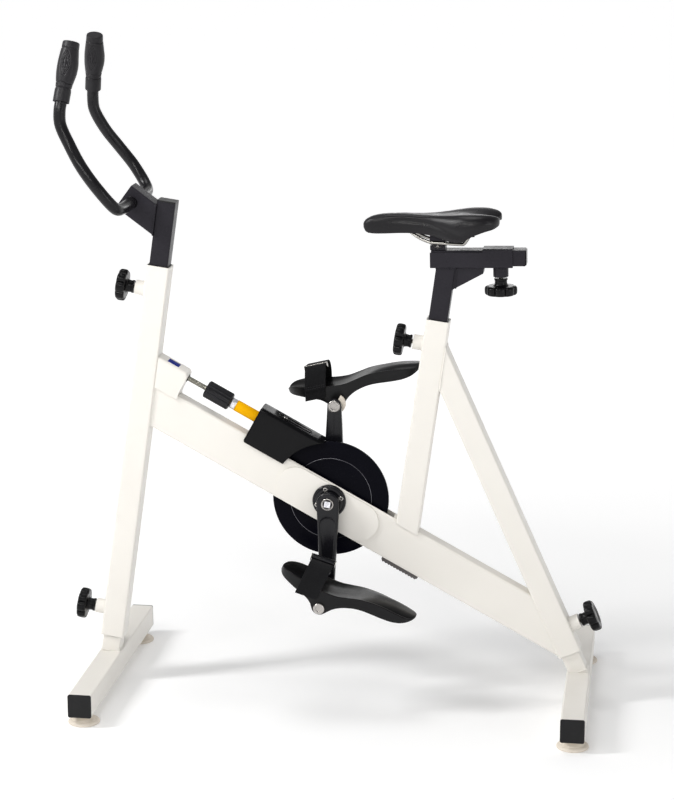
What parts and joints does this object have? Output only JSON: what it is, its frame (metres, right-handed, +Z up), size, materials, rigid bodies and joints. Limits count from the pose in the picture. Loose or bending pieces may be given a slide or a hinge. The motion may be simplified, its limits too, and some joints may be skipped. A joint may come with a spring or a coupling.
{
  "type": "aqua bike",
  "caption": "Pool exercise bike: a slotted sloping beam carries cranks, strapped heel-support pedals and a braked disc, with clamped telescoping saddle, handlebar and feet.",
  "frame": {"origin": "on the floor, under the middle of the bounding box", "axes": "+X to the rear of the bike, +Y to the rider's right, +Z up"},
  "size_m": [1.1474, 0.6066, 1.4095],
  "materials": {
    "white_frame": "satin powder coat",
    "black_frame": "satin powder coat",
    "black_plastic": "fine-grained moulding",
    "rubber": "matt",
    "vinyl": "soft satin cover over foam",
    "webbing": "ribbed woven strap",
    "chrome": "polished",
    "steel": "machined",
    "amber": "smooth",
    "cream": "soft satin",
    "disc": "dark gloss"
  },
  "bodies": {
    "frame": {"front_column": "white_frame", "main_beam": "white_frame", "seat_tube": "white_frame", "rear_strut": "white_frame", "column_bush": "black_plastic", "seat_tube_bush": "black_plastic", "left_bearing": "black_plastic", "right_bearing": "black_plastic", "tension_housing": "white_frame", "tension_rod": "steel", "brake_cover": "black_plastic", "beam_rest": "rubber"},
    "handlebar_post": {"handlebar_post": "black_frame", "handlebar_post_cap": "black_plastic", "handlebar_bracket": "black_frame", "handlebar": "black_frame", "left_grip": "rubber", "right_grip": "rubber"},
    "seat_post": {"seat_post": "black_frame", "slide_channel": "black_frame"},
    "saddle_slider": {"slide_tube": "black_frame", "saddle_clamp_cradle": "black_frame"},
    "saddle": {"saddle_clamp_yoke": "black_frame", "saddle_rails": "chrome", "saddle_shell": "black_plastic", "saddle_cushion": "vinyl"},
    "front_foot": {"front_foot": "white_frame", "front_left_cap": "black_plastic", "front_right_cap": "black_plastic", "front_left_floor_disc": "cream", "front_right_floor_disc": "cream"},
    "rear_foot": {"rear_foot": "white_frame", "rear_left_cap": "black_plastic", "rear_right_cap": "black_plastic", "rear_left_floor_disc": "cream", "rear_right_floor_disc": "cream"},
    "crankset": {"crank_axle": "steel", "brake_disc": "disc", "left_crank": "black_plastic", "right_crank": "black_plastic", "left_pedal_spindle": "steel", "right_pedal_spindle": "steel"},
    "left_pedal": {"left_pedal": "black_plastic", "left_pedal_strap": "webbing"},
    "right_pedal": {"right_pedal": "black_plastic", "right_pedal_strap": "webbing"},
    "brake_push": {"tension_collar": "chrome", "tension_sleeve": "amber", "brake_pad": "rubber"},
    "tension_knob": {"tension_knob": "black_plastic"},
    "handlebar_thrust_pad": {"handlebar_thrust_pad": "steel"},
    "handlebar_knob": {"handlebar_knob": "black_plastic"},
    "front_foot_thrust_pad": {"front_foot_thrust_pad": "steel"},
    "front_foot_knob": {"front_foot_knob": "black_plastic"},
    "seat_post_thrust_pad": {"seat_post_thrust_pad": "steel"},
    "seat_post_knob": {"seat_post_knob": "black_plastic"},
    "rear_foot_thrust_pad": {"rear_foot_thrust_pad": "steel"},
    "rear_foot_knob": {"rear_foot_knob": "black_plastic"},
    "saddle_slide_thrust_pad": {"saddle_slide_thrust_pad": "steel"},
    "saddle_slide_knob": {"saddle_slide_knob": "black_plastic"}
  },
  "joints": [
    {"name": "handlebar_height", "type": "slide", "parent": "frame", "child": "handlebar_post", "axis": [0.1409, 0, 0.99], "range_m": [-0.06, 0.15]},
    {"name": "seat_height", "type": "slide", "parent": "frame", "child": "seat_post", "axis": [0.134, 0, 0.991], "range_m": [-0.06, 0.14]},
    {"name": "saddle_fore_aft", "type": "slide", "parent": "seat_post", "child": "saddle_slider", "axis": [0.9997, 0, 0.0244], "range_m": [-0.02, 0.07]},
    {"name": "saddle_tilt", "type": "hinge", "parent": "saddle_slider", "child": "saddle", "pos_m": [0.21441, 0, 0.99628], "axis": [0, 1, 0], "range_deg": [-7, 7]},
    {"name": "front_foot_height", "type": "slide", "parent": "frame", "child": "front_foot", "axis": [-0.1409, 0, -0.99], "range_m": [-0.03, 0.12]},
    {"name": "rear_foot_height", "type": "slide", "parent": "frame", "child": "rear_foot", "axis": [0.4131, 0, -0.9107], "range_m": [-0.025, 0.12]},
    {"name": "crank_turn", "type": "hinge", "parent": "frame", "child": "crankset", "pos_m": [-0.01133, 0, 0.435], "axis": [0, 1, 0], "continuous": true},
    {"name": "left_pedal_turn", "type": "hinge", "parent": "crankset", "child": "left_pedal", "pos_m": [-0.01133, -0.13, 0.245], "axis": [0, 1, 0], "continuous": true},
    {"name": "right_pedal_turn", "type": "hinge", "parent": "crankset", "child": "right_pedal", "pos_m": [-0.01133, 0.13, 0.625], "axis": [0, 1, 0], "continuous": true},
    {"name": "brake_push", "type": "slide", "parent": "frame", "child": "brake_push", "axis": [0.8792, 0, -0.4764], "range_m": [-0.002, 0.00111]},
    {"name": "tension_turn", "type": "hinge", "parent": "brake_push", "child": "tension_knob", "pos_m": [-0.2388, 0, 0.64492], "axis": [0.8792, 0, -0.4764], "range_deg": [-361, 200]},
    {"name": "handlebar_clamp_travel", "type": "slide", "parent": "frame", "child": "handlebar_thrust_pad", "axis": [-0.99, 0, 0.1409], "range_m": [0, 0.0045]},
    {"name": "handlebar_clamp_turn", "type": "hinge", "parent": "handlebar_thrust_pad", "child": "handlebar_knob", "pos_m": [-0.40867, 0, 0.88042], "axis": [-0.99, 0, 0.1409], "range_deg": [-1, 1081]},
    {"name": "front_foot_clamp_travel", "type": "slide", "parent": "frame", "child": "front_foot_thrust_pad", "axis": [-0.99, 0, 0.1409], "range_m": [0, 0.0045]},
    {"name": "front_foot_clamp_turn", "type": "hinge", "parent": "front_foot_thrust_pad", "child": "front_foot_knob", "pos_m": [-0.51012, 0, 0.16761], "axis": [-0.99, 0, 0.1409], "range_deg": [-1, 1081]},
    {"name": "seat_post_clamp_travel", "type": "slide", "parent": "frame", "child": "seat_post_thrust_pad", "axis": [-0.991, 0, 0.134], "range_m": [0, 0.0045]},
    {"name": "seat_post_clamp_turn", "type": "hinge", "parent": "seat_post_thrust_pad", "child": "seat_post_knob", "pos_m": [0.18429, 0, 0.77956], "axis": [-0.991, 0, 0.134], "range_deg": [-1, 1081]},
    {"name": "rear_foot_clamp_travel", "type": "slide", "parent": "frame", "child": "rear_foot_thrust_pad", "axis": [0.9107, 0, 0.4131], "range_m": [0, 0.0045]},
    {"name": "rear_foot_clamp_turn", "type": "hinge", "parent": "rear_foot_thrust_pad", "child": "rear_foot_knob", "pos_m": [0.50671, 0, 0.17531], "axis": [0.9107, 0, 0.4131], "range_deg": [-1, 1081]},
    {"name": "saddle_slide_clamp_travel", "type": "slide", "parent": "seat_post", "child": "saddle_slide_thrust_pad", "axis": [0.0244, 0, -0.9997], "range_m": [0, 0.0045]},
    {"name": "saddle_slide_clamp_turn", "type": "hinge", "parent": "saddle_slide_thrust_pad", "child": "saddle_slide_knob", "pos_m": [0.34467, 0, 0.94645], "axis": [0.0244, 0, -0.9997], "range_deg": [-1, 1081]}
  ],
  "couplings": [
    {"joint": "tension_turn", "follows": "brake_push", "rad_per_m": 3141.6},
    {"joint": "handlebar_clamp_turn", "follows": "handlebar_clamp_travel", "rad_per_m": 4188.8},
    {"joint": "front_foot_clamp_turn", "follows": "front_foot_clamp_travel", "rad_per_m": 4188.8},
    {"joint": "seat_post_clamp_turn", "follows": "seat_post_clamp_travel", "rad_per_m": 4188.8},
    {"joint": "rear_foot_clamp_turn", "follows": "rear_foot_clamp_travel", "rad_per_m": 4188.8},
    {"joint": "saddle_slide_clamp_turn", "follows": "saddle_slide_clamp_travel", "rad_per_m": 4188.8}
  ]
}
